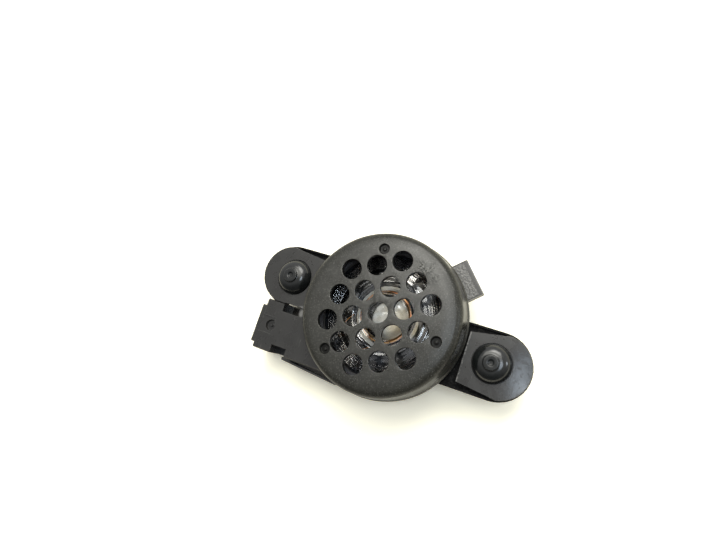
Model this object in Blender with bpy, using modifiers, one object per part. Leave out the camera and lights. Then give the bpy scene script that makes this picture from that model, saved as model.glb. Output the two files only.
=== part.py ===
"""A small in-car sounder loudspeaker: a round perforated cap on a moulded housing with two ears, rubber
buffers, a side tab and a two-way plug socket, and a film loudspeaker inside.

Frame: the origin is on the cap's axis, in the plane of the rear face. +Z points out of the perforated face
and +X points along the straight edges of the right ear. Every size below is in millimetres."""

import math

import bmesh
import bpy
from mathutils import Matrix, Vector

MM = 0.001
GAP = 0.3  # clearance between pieces that touch on the real object

# Heights above the rear face
CAP_TOP = 22.0
EAR_TOP = 13.0
LEDGE_TOP = 11.6
EAR_BOTTOM = 9.8
RIM_TOP = 12.1
FLOOR = 1.6

# Perforated cap
CAP_R = 22.5  # where the rounded edge meets the skirt
CAP_SKIRT_R = 22.85  # the skirt widens a little towards the lip
CAP_LIP_R = 23.2
CAP_FACE = 1.6
CAP_FILLET = 2.2
CAP_WALL = 1.4
CAP_BOTTOM = RIM_TOP + GAP
CAP_STEP = 17.0  # height of the inner step that presses on the gasket
CAP_STEP_R = 18.9
HOLE_R = 2.85
HOLE_PITCH = 7.68  # along a column of holes
COLUMN_PITCH = 0.795 * HOLE_PITCH
GRID_TURN = math.radians(-7.8)  # the hole columns are turned a little against the ears
DIMPLE_R = 1.55
DIMPLE_DEPTH = 1.0
NIB_R = 0.45
NIB_HEIGHT = 0.4
DIMPLE_RING = 17.6
DIMPLE_ANGLES = (-9.0, 103.0, 231.0)

# Housing: the round can
CAN_R = 21.2
CAN_FOOT_R = 20.6
CAN_WALL = 1.5
RIM_R = 22.5
COLLAR_R = 20.7
COLLAR_INNER_R = 19.0
COLLAR_TOP = 12.6
COLLAR_BOTTOM = 10.5

# Housing: the two ears, alike under a half turn about the cap's axis
EAR_X = 32.6
EAR_Y = -3.5
EAR_R = 9.25
EAR_EDGE = 0.3  # bevel of the plate
PAD_R = 8.7
PAD_INSET = 0.1  # how far the pad's round end stays behind the ear's
PAD_EDGE = 0.45
PAD_ARC = (-78, 82)  # the part of the pad's round end, in degrees
PAD_START_X = 23.5
PAD_START_Y = {"right": (3.3, -10.7), "left": (5.15, -10.7)}  # the left pad meets the socket
TROUGH_FLOOR = 10.3
TROUGH_WALL = 0.5  # the thin wall left along each straight edge of the ear
TROUGH_INNER_R = 22.9
TROUGH_END_X = 33.0
RIB_WIDTH = 1.4
RIB_DEPTH = 5.0
RIB_INSET = 0.4
RIB_X = (19.0, 29.1)

# Rubber buffers in the ears
BUFFER_X = 31.3
BUFFER_Y = -3.2
BUFFER_R = 5.2
BUFFER_TIP_R = 1.8
BUFFER_HEIGHT = 3.4
NECK_R = 3.0
SEAT_DEPTH = 0.6
BUFFER_FLANGE_R = 4.4
BUFFER_FLANGE = 1.8

# Housing: side tab
TAB_ANGLE = 42.0
TAB_REACH = 27.1
TAB_WIDTH = 10.7
TAB_TOP = 11.9
TAB_THICKNESS = 2.4
TAB_CHAMFER = 1.2
TAB_CHAMFER_TILT = 18.0

# Housing: plug socket, its mouth facing -X
BLOCK_LEFT = -37.2
BLOCK_RIGHT = -10.0
BLOCK_Y = (-20.4, -5.2)
BLOCK_BOTTOM = 0.8
SHROUD_LEFT = -38.5
SHROUD_RIGHT = -30.0
SHROUD_Y = (-18.9, -7.3)
SHROUD_WALL = 1.3
CAVITY_DEPTH = 9.6
CAVITY_Z = (3.0, 11.2)
KEY_WIDTH = 1.8
KEY_DEPTH = 0.8
RECESS_DEPTH = 0.55  # the shallow recess around the round dimple
RECESS_REACH = (-2.1, 2.9)
WEB_LEFT = -27.6
WEB_Y = -21.3
WEB_BULGE = (-9.0, -22.8)
WEB_END = (4.0, -20.2)
WEB_TOP = 10.8
WEB_WALL = 0.5
WEB_TROUGH_X = (-24.6, -9.4)
WEB_TROUGH_FLOOR = 7.6
NOTCH_X = (-31.2, -26.1)
NOTCH_Y = -17.9
NOTCH_FLOOR = 6.2
WINDOW_Y = (-7.7, -4.9)
WINDOW_X = (-31.5, -24.7)
WINDOW_FLOOR = (8.5, -30.2)  # its height, and where the ramp starts to rise
WINDOW_RAMP_END = (-24.9, 12.7)
MARK_X = -33.7  # a round dimple in the block's top, like those of the cap
MARK_R = 1.75
MARK_DEPTH = 0.75

# Contacts
PIN_PITCH = 3.7
PIN_WIDTH = 1.5
PIN_THICKNESS = 0.6
PIN_Z = 6.0  # below the middle of the cavity, as the plug is thicker above its contacts
PIN_TIP_X = -36.2
SLOT_END_X = -10.5
PIN_ENDS_X = (-11.6, -14.0)

# Loudspeaker
FRAME_R = 20.3
FRAME_FLANGE = (12.9, 13.9)
FRAME_WALL_R = 18.2
FRAME_FLOOR = (9.6, 10.6)
FILM = 0.2
FILM_Z = 14.4
COIL_R = (7.1, 7.5)
COIL_Z = (10.2, 14.1)
FORMER_R = (6.6, 6.8)
DIAPHRAGM_R = 13.7
DOME_RISE = 2.3
SURROUND_R = 17.2
SURROUND_RIM_R = 19.9
WAVES = 3
WAVE_HEIGHT = 0.35
YOKE_R = (7.9, 9.2)
YOKE_Z = (5.3, 11.7)
YOKE_FLOOR = 1.2
PLATE_R = 6.3
PLATE_THICKNESS = 1.5
MAGNET_R = 6.0
TERMINAL_ANGLE = 225.0
TERMINAL_R = 14.0
BOARD_SIZE = (4.6, 8.4, 0.8)
BOARD_Z = 8.5
LUG_SPREAD = 2.4
LUG_SIDES = {"negative": LUG_SPREAD, "positive": -LUG_SPREAD}

FINE = 52  # segments of the large turned pieces
COARSE = 28  # segments of the small ones

PLASTIC = ("black_plastic", (0.030, 0.030, 0.029), 0.50, 0.0)
CAP_PLASTIC = ("cap_plastic", (0.034, 0.033, 0.032), 0.45, 0.0)
RUBBER = ("black_rubber", (0.018, 0.020, 0.019), 0.35, 0.0)
FRAME_PLASTIC = ("frame_plastic", (0.012, 0.013, 0.014), 0.25, 0.0)
CLEAR_FILM = ("clear_film", (0.75, 0.77, 0.78), 0.10, 0.0)
COPPER = ("copper_wire", (0.72, 0.33, 0.16), 0.30, 1.0)
PAPER = ("former_paper", (0.42, 0.27, 0.12), 0.80, 0.0)
CARD = ("edge_card", (0.050, 0.048, 0.045), 0.85, 0.0)
FOAM = ("grey_foam", (0.060, 0.060, 0.062), 0.95, 0.0)
STEEL = ("plated_steel", (0.62, 0.57, 0.46), 0.30, 1.0)
NICKEL = ("magnet_nickel", (0.55, 0.54, 0.52), 0.25, 1.0)
BOARD = ("terminal_board", (0.16, 0.10, 0.045), 0.60, 0.0)
TIN = ("tinned_metal", (0.66, 0.66, 0.64), 0.28, 1.0)
RED_SLEEVE = ("red_sleeve", (0.42, 0.03, 0.025), 0.45, 0.0)
BLACK_SLEEVE = ("black_sleeve", (0.02, 0.02, 0.02), 0.45, 0.0)


# ---------------------------------------------------------------- helpers

def clear_scene():
    for item in list(bpy.data.objects):
        bpy.data.objects.remove(item, do_unlink=True)


def new_collection(name, parent=None):
    collection = bpy.data.collections.new(name)
    (parent or bpy.context.scene.collection).children.link(collection)
    return collection


def material_of(look):
    name, colour, roughness, metallic = look
    found = bpy.data.materials.get(name)
    if found:
        return found
    material = bpy.data.materials.new(name)
    material.use_nodes = True
    shader = material.node_tree.nodes["Principled BSDF"]
    shader.inputs["Base Color"].default_value = (*colour, 1.0)
    shader.inputs["Roughness"].default_value = roughness
    shader.inputs["Metallic"].default_value = metallic
    return material


def new_object(name, mesh, look=None):
    """A visible part when it has a look, otherwise a hidden tool for a Boolean."""
    piece = bpy.data.objects.new(name, mesh)
    if look:
        parts.objects.link(piece)
        mesh.materials.append(material_of(look))
    else:
        cutters.objects.link(piece)
        piece.hide_render = True
        piece.display_type = "WIRE"
    return piece


def shade(piece):
    piece.data.shade_smooth()
    piece.data.set_sharp_from_angle(angle=math.radians(35))


def turned(name, profile, look=None, steps=COARSE, closed=True):
    """A profile of (radius, height) turned about Z. An open profile starts and ends on the axis."""
    mesh = bpy.data.meshes.new(name)
    shape = bmesh.new()
    points = [shape.verts.new((radius * MM, 0.0, height * MM)) for radius, height in profile]
    for first, second in zip(points, points[1:]):
        shape.edges.new((first, second))
    if closed:
        shape.edges.new((points[-1], points[0]))
    shape.to_mesh(mesh)
    shape.free()
    piece = new_object(name, mesh, look)
    screw = piece.modifiers.new("turn", "SCREW")
    screw.axis = "Z"
    screw.steps = steps
    screw.render_steps = steps
    screw.use_smooth_shade = True
    screw.use_merge_vertices = True
    screw.merge_threshold = 0.00001
    return piece


def disc(name, radius, low, high, look=None, steps=COARSE):
    return turned(name, [(0, high), (radius, high), (radius, low), (0, low)], look, steps, closed=False)


def ring(name, radii, heights, look=None, steps=COARSE):
    inner, outer = radii
    low, high = heights
    return turned(name, [(outer, high), (outer, low), (inner, low), (inner, high)], look, steps)


def box(name, low, high, look=None):
    mesh = bpy.data.meshes.new(name)
    low, high = Vector(low), Vector(high)
    size = high - low
    shape = bmesh.new()
    matrix = Matrix.Translation((low + high) / 2 * MM) @ Matrix.Diagonal((*(size * MM), 1.0))
    bmesh.ops.create_cube(shape, size=1.0, matrix=matrix)
    shape.to_mesh(mesh)
    shape.free()
    return new_object(name, mesh, look)


def arc(centre, radius, start, end, steps):
    """Points of an arc from start to end, in degrees."""
    angles = [math.radians(start + (end - start) * step / steps) for step in range(steps + 1)]
    return [(centre[0] + radius * math.cos(angle), centre[1] + radius * math.sin(angle)) for angle in angles]


def plate(name, outline, low, high, look=None):
    """A flat outline with a thickness: a filled 2D curve made into a mesh."""
    curve = bpy.data.curves.new(name, "CURVE")
    curve.dimensions = "2D"
    curve.fill_mode = "BOTH"
    curve.extrude = (high - low) / 2 * MM
    spline = curve.splines.new("POLY")
    spline.points.add(len(outline) - 1)
    spline.use_cyclic_u = True
    for point, (x, y) in zip(spline.points, outline):
        point.co = (x * MM, y * MM, 0.0, 1.0)
    return solid_of_curve(name, curve, Matrix.Translation((0, 0, (low + high) / 2 * MM)), look)


def solid_of_curve(name, curve, place, look=None):
    guide = bpy.data.objects.new(name + "_guide", curve)
    cutters.objects.link(guide)
    guide.matrix_world = place
    graph = bpy.context.evaluated_depsgraph_get()
    mesh = bpy.data.meshes.new_from_object(guide.evaluated_get(graph))
    shape = bmesh.new()
    shape.from_mesh(mesh)
    bmesh.ops.remove_doubles(shape, verts=shape.verts, dist=0.000001)
    bmesh.ops.recalc_face_normals(shape, faces=shape.faces)
    shape.to_mesh(mesh)
    shape.free()
    mesh.materials.clear()
    mesh.transform(place)
    bpy.data.objects.remove(guide, do_unlink=True)
    bpy.data.curves.remove(curve)
    mesh.name = name
    return new_object(name, mesh, look)


def wire(name, points, radius, look):
    """A round wire through the points, its bends rounded by a Bezier curve sampled as a poly line."""
    curve = bpy.data.curves.new(name, "CURVE")
    curve.dimensions = "3D"
    curve.bevel_depth = radius * MM
    curve.bevel_resolution = 1
    curve.use_fill_caps = True
    samples = smooth_path(points)
    spline = curve.splines.new("POLY")
    spline.points.add(len(samples) - 1)
    for point, place in zip(spline.points, samples):
        point.co = (*(place * MM), 1.0)
    piece = solid_of_curve(name, curve, Matrix.Identity(4), look)
    shade(piece)
    return piece


def smooth_path(points, steps=3):
    """Quadratic curves between the middles of the path's legs, with straight first and last halves."""
    places = [Vector(point) for point in points]
    path = [places[0]]
    for before, corner, after in zip(places, places[1:], places[2:]):
        start = (before + corner) / 2
        end = (corner + after) / 2
        for step in range(steps + 1):
            t = step / steps
            path.append(start.lerp(corner, t).lerp(corner.lerp(end, t), t))
    path.append(places[-1])
    return path


def boolean(piece, tools, operation, name):
    """One Boolean with all the tools at once, which leaves cleaner faces than one Boolean for each."""
    group = new_collection(f"{piece.name}_{name}", cutters)
    for tool in tools:
        cutters.objects.unlink(tool)
        group.objects.link(tool)
    modifier = piece.modifiers.new(name, "BOOLEAN")
    modifier.operation = operation
    modifier.solver = "EXACT"
    modifier.operand_type = "COLLECTION"
    modifier.collection = group
    modifier.use_self = True


def cut(piece, tools):
    boolean(piece, tools, "DIFFERENCE", "cuts")


def join(piece, tools):
    boolean(piece, tools, "UNION", "additions")


def bevel(piece, width, segments=1, angle=50):
    modifier = piece.modifiers.new("edges", "BEVEL")
    modifier.width = width * MM
    modifier.segments = segments
    modifier.limit_method = "ANGLE"
    modifier.angle_limit = math.radians(angle)


def move(piece, x=0.0, y=0.0, z=0.0, turn=0.0):
    """Moves a piece by x, y and z, in millimetres, after turning it about Z by so many degrees."""
    piece.data.transform(Matrix.Rotation(math.radians(turn), 4, "Z"))
    piece.location = (x * MM, y * MM, z * MM)


def polar(radius, angle, sideways=0.0):
    """The x and y of a point at a radius and an angle in degrees, moved sideways along the tangent."""
    turn = math.radians(angle)
    x = radius * math.cos(turn) - sideways * math.sin(turn)
    y = radius * math.sin(turn) + sideways * math.cos(turn)
    return x, y


# ---------------------------------------------------------------- perforated cap

def cap_profile():
    fillet = arc((CAP_R - CAP_FILLET, CAP_TOP - CAP_FILLET), CAP_FILLET, 90, 0, 5)
    return [
        (0, CAP_TOP),
        *fillet,
        (CAP_SKIRT_R, CAP_BOTTOM + 1.4),
        (CAP_LIP_R, CAP_BOTTOM + 1.0),
        (CAP_LIP_R, CAP_BOTTOM),
        (CAP_R - CAP_WALL, CAP_BOTTOM),
        (CAP_R - CAP_WALL, CAP_STEP),
        (CAP_STEP_R, CAP_STEP),
        (CAP_STEP_R, CAP_TOP - CAP_FACE),
        (0, CAP_TOP - CAP_FACE),
    ]


def hole_places():
    """Five columns of 3, 4, 5, 4 and 3 holes, each column centred on the X axis of the grid."""
    places = []
    for column in range(-2, 3):
        count = 5 - abs(column)
        for row in range(count):
            x = column * COLUMN_PITCH
            y = (row - (count - 1) / 2) * HOLE_PITCH
            cosine, sine = math.cos(GRID_TURN), math.sin(GRID_TURN)
            places.append((x * cosine - y * sine, x * sine + y * cosine))
    return places


def make_cap():
    cap = turned("grille_cap", cap_profile(), CAP_PLASTIC, FINE, closed=False)
    tools = []
    for number, (x, y) in enumerate(hole_places(), 1):
        hole = disc(f"cut_hole_{number}", HOLE_R, CAP_TOP - 4, CAP_TOP + 1, steps=18)
        move(hole, x, y)
        tools.append(hole)
    for number, angle in enumerate(DIMPLE_ANGLES, 1):
        cutter = dimple(f"cut_dimple_{number}", CAP_TOP, DIMPLE_DEPTH, DIMPLE_R)
        move(cutter, *polar(DIMPLE_RING, angle))
        tools.append(cutter)
    cut(cap, tools)


def dimple(name, face, depth, radius):
    """The cutter of a blind round dimple in a face at some height, with a small nib on its floor."""
    floor = face - depth
    nib_top = floor + NIB_HEIGHT
    pocket = [(0, face + 1), (radius, face + 1), (radius, face), (radius - 0.3, floor)]
    nib = [(NIB_R, floor), (NIB_R - 0.1, nib_top), (0, nib_top)]
    return turned(name, pocket + nib, steps=14, closed=False)


# ---------------------------------------------------------------- housing

def ear_outline(inner_x):
    top, bottom = EAR_Y + EAR_R, EAR_Y - EAR_R
    return [(inner_x, bottom), *arc((EAR_X, EAR_Y), EAR_R, -90, 90, 18), (inner_x, top)]


def pad_outline(side):
    centre = (EAR_X + EAR_R - PAD_R - PAD_INSET, EAR_Y)
    upper, lower = PAD_START_Y[side]
    return [(PAD_START_X, lower), *arc(centre, PAD_R, *PAD_ARC, 16), (PAD_START_X, upper)]


def along(start, end, x):
    """The point at an x on the straight line through start and end."""
    share = (x - start[0]) / (end[0] - start[0])
    return x, start[1] + share * (end[1] - start[1])


def trough_outline(side):
    """The low ground between the can and the pad, and beside the pad's long edges that stand free."""
    pad = pad_outline(side)
    upper, lower = PAD_START_Y[side]
    inside = PAD_START_X + 0.1
    reach = EAR_R - TROUGH_WALL
    low_y = EAR_Y - reach
    high_y = EAR_Y + reach
    low_end = along(pad[0], pad[1], TROUGH_END_X)
    outline = [(TROUGH_END_X, low_y), (TROUGH_END_X, low_end[1] + 0.1), (inside, lower + 0.1)]
    if side == "left":
        high_y = upper - 0.1
        outline.append((inside, high_y))
    else:
        high_end = along(pad[-1], pad[-2], TROUGH_END_X)
        outline += [(inside, upper - 0.1), (TROUGH_END_X, high_end[1] - 0.1), (TROUGH_END_X, high_y)]
    start = math.degrees(math.asin(high_y / TROUGH_INNER_R))
    end = math.degrees(math.asin(low_y / TROUGH_INNER_R))
    return [*arc((0, 0), TROUGH_INNER_R, start, end, 12), *outline]


def make_ear(side, turn):
    """The tools of one ear: a thin plate, a raised pad and two ribs under them, and its cuts."""
    ear = plate(f"add_ear_{side}", ear_outline(16.0), EAR_BOTTOM, LEDGE_TOP)
    bevel(ear, EAR_EDGE)
    pad = plate(f"add_pad_{side}", pad_outline(side), EAR_BOTTOM + 0.5, EAR_TOP)
    bevel(pad, PAD_EDGE, segments=2)
    ribs = []
    for number, offset in enumerate((EAR_R - RIB_WIDTH - RIB_INSET, RIB_INSET - EAR_R)):
        low = (RIB_X[0], EAR_Y + offset, EAR_BOTTOM - RIB_DEPTH)
        high = (RIB_X[1], EAR_Y + offset + RIB_WIDTH, EAR_BOTTOM + 0.4)
        rib = box(f"add_rib_{side}_{number}", low, high)
        slope_rib(rib)
        ribs.append(rib)
    trough = plate(f"cut_trough_{side}", trough_outline(side), TROUGH_FLOOR, EAR_TOP + 2)
    for tool in (ear, pad, *ribs, trough):
        move(tool, turn=turn)
    hole = turned(f"cut_buffer_{side}", buffer_hole_profile(), steps=28, closed=False)
    move(hole, *turned_place(BUFFER_X, BUFFER_Y, turn))
    return (ear, pad, *ribs), (trough, hole)


def buffer_hole_profile():
    """The hole for a buffer's neck, widening to the shallow seat of its head."""
    seat_r = BUFFER_R + GAP
    seat = EAR_TOP - SEAT_DEPTH
    hole_r = NECK_R + GAP
    bottom = EAR_BOTTOM - RIB_DEPTH
    above = EAR_TOP + 2
    return [(0, above), (seat_r, above), (seat_r, seat), (hole_r, seat), (hole_r, bottom), (0, bottom)]


def slope_rib(rib):
    """Lifts the lower outer edge of a rib so that it tapers towards the ear's round end."""
    middle_x = sum(RIB_X) / 2
    for point in rib.data.vertices:
        if point.co.x > middle_x * MM and point.co.z < (EAR_BOTTOM - 1) * MM:
            point.co.z = (EAR_BOTTOM - 0.6) * MM


def turned_place(x, y, turn):
    angle = math.radians(turn)
    return x * math.cos(angle) - y * math.sin(angle), x * math.sin(angle) + y * math.cos(angle)


def make_tab():
    """The side tab, a plate standing out from the can, with a chamfer on its outer edge."""
    half = TAB_WIDTH / 2
    tab = box("add_tab", (19.8, -half, TAB_TOP - TAB_THICKNESS), (TAB_REACH, half, TAB_TOP))
    chamfer = box("cut_tab_edge", (-TAB_CHAMFER, -half - 1, 0), (TAB_CHAMFER, half + 1, 1))
    chamfer.data.transform(Matrix.Rotation(math.radians(TAB_CHAMFER_TILT), 4, "Y"))
    chamfer.data.transform(Matrix.Translation((TAB_REACH * MM, 0, (TAB_TOP - 0.16) * MM)))
    for tool in (tab, chamfer):
        move(tool, turn=TAB_ANGLE)
    return tab, chamfer


def side_prism(name, outline, low_y, high_y):
    """A solid whose outline is drawn in x and z, standing between two values of y."""
    prism = plate(name, [(x, z) for x, z in outline], low_y, high_y)
    turn = Matrix(((1, 0, 0, 0), (0, 0, 1, 0), (0, 1, 0, 0), (0, 0, 0, 1)))
    prism.data.transform(turn)
    prism.data.flip_normals()
    return prism


def make_socket():
    """The tools of the plug socket: what is added, and what is cut from it."""
    block_low = (BLOCK_LEFT, BLOCK_Y[0], BLOCK_BOTTOM)
    block = box("add_block", block_low, (BLOCK_RIGHT, BLOCK_Y[1], EAR_TOP - 0.1))
    bevel(block, 0.3)
    shroud_low = (SHROUD_LEFT, SHROUD_Y[0], BLOCK_BOTTOM + 0.5)
    shroud = box("add_shroud", shroud_low, (SHROUD_RIGHT, SHROUD_Y[1], EAR_TOP - 0.3))
    bevel(shroud, 0.25)
    inner = (SHROUD_Y[0] + SHROUD_WALL, SHROUD_Y[1] - SHROUD_WALL)
    back = SHROUD_LEFT + CAVITY_DEPTH
    middle = sum(SHROUD_Y) / 2
    mouth_x = SHROUD_LEFT - 1
    cavity = box("cut_cavity", (mouth_x, inner[0], CAVITY_Z[0]), (back, inner[1], CAVITY_Z[1]))
    key_low = (mouth_x, middle - KEY_WIDTH / 2, CAVITY_Z[0] - KEY_DEPTH)
    key = box("cut_key", key_low, (back, middle + KEY_WIDTH / 2, CAVITY_Z[0] + 1))
    mark = dimple("cut_mark", EAR_TOP - RECESS_DEPTH, MARK_DEPTH, MARK_R)
    move(mark, MARK_X, middle + 0.4)
    recess_low = (mouth_x, middle + RECESS_REACH[0], EAR_TOP - RECESS_DEPTH)
    recess_high = (MARK_X + 1, middle + RECESS_REACH[1], EAR_TOP + 2)
    recess = box("cut_recess", recess_low, recess_high)
    notch_low = (NOTCH_X[0], BLOCK_Y[0] - 0.05, NOTCH_FLOOR)
    notch = box("cut_notch", notch_low, (NOTCH_X[1], NOTCH_Y, EAR_TOP + 2))
    slots = []
    for number, y in enumerate(pin_rows()):
        reach = (PIN_WIDTH / 2 + GAP, PIN_THICKNESS / 2 + GAP)
        low = (back - 1, y - reach[0], PIN_Z - reach[1])
        high = (SLOT_END_X, y + reach[0], PIN_Z + reach[1])
        slots.append(box(f"cut_slot_{number}", low, high))
    web, web_trough = make_web()
    window = make_window()
    return (block, shroud, web), (cavity, key, mark, recess, window, notch, web_trough, *slots)


def make_web():
    """The low web between the block and the can, and the narrow trough in its top."""
    inside_y = BLOCK_Y[0] + 3.0
    outline = [(WEB_LEFT, WEB_Y), WEB_BULGE, WEB_END, (WEB_END[0], inside_y), (WEB_LEFT, inside_y)]
    web = plate("add_web", outline, 0.0, WEB_TOP)
    start, end = WEB_TROUGH_X
    edge_start = along((WEB_LEFT, WEB_Y), WEB_BULGE, start)
    edge_end = along((WEB_LEFT, WEB_Y), WEB_BULGE, end)
    trough_outline = [
        (start, edge_start[1] + WEB_WALL),
        (end, edge_end[1] + WEB_WALL),
        (end, BLOCK_Y[0] - 0.05),
        (start, BLOCK_Y[0] - 0.05),
    ]
    trough = plate("cut_web_trough", trough_outline, WEB_TROUGH_FLOOR, WEB_TOP + 1)
    return web, trough


def make_window():
    """The window beside the socket: an upright left end, a flat floor and a ramp that rises to the right."""
    left, right = WINDOW_X
    floor, ramp_x = WINDOW_FLOOR
    above = EAR_TOP + 2
    outline = [(left, above), (left, floor), (ramp_x, floor), WINDOW_RAMP_END, (right, above)]
    return side_prism("cut_window", outline, *WINDOW_Y)


def make_housing():
    can = [
        (0, COLLAR_TOP),
        (RIM_R, COLLAR_TOP),
        (RIM_R, RIM_TOP - 1.3),
        (CAN_R, RIM_TOP - 1.8),
        (CAN_FOOT_R, 1.0),
        (CAN_FOOT_R - 0.8, 0),
        (15.6, 0),
        (15.2, 0.4),
        (0, 0.4),
    ]
    housing = turned("rear_housing", can, PLASTIC, FINE, closed=False)
    right_adds, right_cuts = make_ear("right", 0)
    left_adds, left_cuts = make_ear("left", 180)
    socket_adds, socket_cuts = make_socket()
    tab, tab_chamfer = make_tab()
    inside = [
        (0, CAP_TOP),
        (COLLAR_INNER_R, CAP_TOP),
        (COLLAR_INNER_R, COLLAR_BOTTOM),
        (CAN_R - CAN_WALL, COLLAR_BOTTOM - 0.7),
        (CAN_FOOT_R - CAN_WALL, FLOOR),
        (0, FLOOR),
    ]
    hollow = turned("cut_inside", inside, steps=FINE, closed=False)
    clearance = ring("cut_cap_seat", (COLLAR_R, CAP_LIP_R + GAP), (RIM_TOP, CAP_TOP), steps=FINE)
    join(housing, [*right_adds, *left_adds, *socket_adds, tab])
    cut(housing, [hollow, clearance, tab_chamfer, *right_cuts, *left_cuts, *socket_cuts])


# ---------------------------------------------------------------- rubber buffers

def buffer_profile():
    """A domed head on a neck that passes through the ear, with a flat flange behind the ear."""
    seat = EAR_TOP - SEAT_DEPTH + GAP
    tip = EAR_TOP + BUFFER_HEIGHT
    dome = []
    for step in range(5):
        t = step / 4
        radius = BUFFER_TIP_R + 0.3 + (BUFFER_R - 0.45 - BUFFER_TIP_R - 0.3) * math.sin(math.pi / 2 * t)
        height = EAR_TOP + 0.6 + (tip - 0.5 - EAR_TOP - 0.6) * math.cos(math.pi / 2 * t) ** 1.2
        dome.append((radius, height))
    return [
        (0, tip - 0.35),
        (0.8, tip - 0.35),
        (0.9, tip),
        (BUFFER_TIP_R, tip),
        *dome,
        (BUFFER_R, EAR_TOP + 0.5),
        (BUFFER_R, seat),
        (NECK_R, seat),
        (NECK_R, EAR_BOTTOM - GAP),
        (BUFFER_FLANGE_R, EAR_BOTTOM - GAP),
        (BUFFER_FLANGE_R - 0.3, EAR_BOTTOM - GAP - BUFFER_FLANGE),
        (0, EAR_BOTTOM - GAP - BUFFER_FLANGE),
    ]


def make_buffers():
    for side, sign in (("left", -1), ("right", 1)):
        rubber = turned(f"{side}_rubber_buffer", buffer_profile(), RUBBER, 24, closed=False)
        move(rubber, sign * BUFFER_X, sign * BUFFER_Y)


# ---------------------------------------------------------------- loudspeaker

def make_frame():
    """The black basket: a flange for the film, a wall, and a floor with vents around the magnet pot."""
    low, high = FRAME_FLOOR
    seat = YOKE_R[1] + GAP
    profile = [
        (FRAME_R, FRAME_FLANGE[1]),
        (FRAME_R, FRAME_FLANGE[0]),
        (FRAME_WALL_R, FRAME_FLANGE[0]),
        (FRAME_WALL_R, low + 0.8),
        (FRAME_WALL_R - 0.8, low),
        (seat + 1.1, low),
        (seat + 1.1, low - 1.2),
        (seat, low - 1.2),
        (seat, high + 0.4),
        (seat + 0.8, high + 0.4),
        (seat + 1.2, high),
        (FRAME_WALL_R - 1.0, high),
        (FRAME_WALL_R - 1.0, FRAME_FLANGE[1]),
    ]
    frame = turned("speaker_frame", profile, FRAME_PLASTIC, 40)
    tools = []
    for number in range(6):
        vent = disc(f"cut_vent_{number}", 1.4, low - 1, high + 1, steps=12)
        move(vent, *polar(TERMINAL_R, TERMINAL_ANGLE + 45 + 54 * number))
        tools.append(vent)
    for number, sideways in enumerate((-LUG_SPREAD, LUG_SPREAD)):
        passage = disc(f"cut_lead_{number}", 0.8, low - 1, high + 1, steps=10)
        move(passage, *polar(TERMINAL_R + 1.2, TERMINAL_ANGLE, sideways))
        tools.append(passage)
    cut(frame, tools)


def make_motor():
    """The magnet pot, the magnet on its floor and the pole plate on the magnet."""
    inner, outer = YOKE_R
    low, high = YOKE_Z
    pot = [
        (0, low + YOKE_FLOOR),
        (inner, low + YOKE_FLOOR),
        (inner, high),
        (outer, high),
        (outer, low + 0.6),
        (outer - 0.6, low),
        (0, low),
    ]
    turned("magnet_pot", pot, STEEL, COARSE, closed=False)
    plate_low = high - PLATE_THICKNESS
    disc("pole_plate", PLATE_R, plate_low, high, STEEL)
    disc("magnet", MAGNET_R, low + YOKE_FLOOR + GAP, plate_low - GAP, NICKEL)


def film_ring(points):
    """A closed profile: the given line and the same line one film thickness lower."""
    return [*[(radius, height + FILM) for radius, height in points], *reversed(points)]


def make_diaphragm():
    """The moving film: a dome over the pole, a flat ring on the coil and a shallow cone."""
    coil_inner = FORMER_R[0] - 0.2
    coil_outer = COIL_R[1] + 0.2
    line = []
    for step in range(6):
        t = step / 5
        line.append((coil_inner * t, FILM_Z + DOME_RISE * (1 - t * t)))
    line.append((coil_outer, FILM_Z))
    line.append(((coil_outer + DIAPHRAGM_R) / 2, FILM_Z + 0.75))
    line.append((DIAPHRAGM_R, FILM_Z + 0.5))
    profile = [(radius, height + FILM) for radius, height in line] + list(reversed(line))
    turned("diaphragm", profile, CLEAR_FILM, 32, closed=False)


def make_surround():
    """The corrugated edge of the film and the flat rim that is glued to the frame."""
    start = DIAPHRAGM_R + GAP
    line = []
    for step in range(2 * WAVES + 1):
        radius = start + (SURROUND_R - start) * step / (2 * WAVES)
        line.append((radius, FILM_Z + 0.3 + (WAVE_HEIGHT if step % 2 else 0.0)))
    line.append((SURROUND_R + 0.3, FRAME_FLANGE[1] + GAP))
    line.append((SURROUND_RIM_R, FRAME_FLANGE[1] + GAP))
    turned("surround", film_ring(line), CLEAR_FILM, 32)


def make_edge_pieces():
    rim_top = FRAME_FLANGE[1] + GAP + FILM
    edge_ring = (rim_top + GAP, rim_top + GAP + 0.7)
    ring("edge_ring", (SURROUND_R + 0.6, SURROUND_RIM_R + 0.2), edge_ring, CARD)
    ring("front_gasket", (SURROUND_R + 0.6, SURROUND_RIM_R + 0.2), (edge_ring[1] + GAP, CAP_STEP - GAP), FOAM)
    disc("rear_foam_pad", 8.6, FLOOR + GAP, YOKE_Z[0] - GAP, FOAM)


def make_coil():
    ring("voice_coil", COIL_R, COIL_Z, COPPER)
    ring("coil_former", FORMER_R, (COIL_Z[0] - 0.4, COIL_Z[1]), PAPER)


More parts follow.
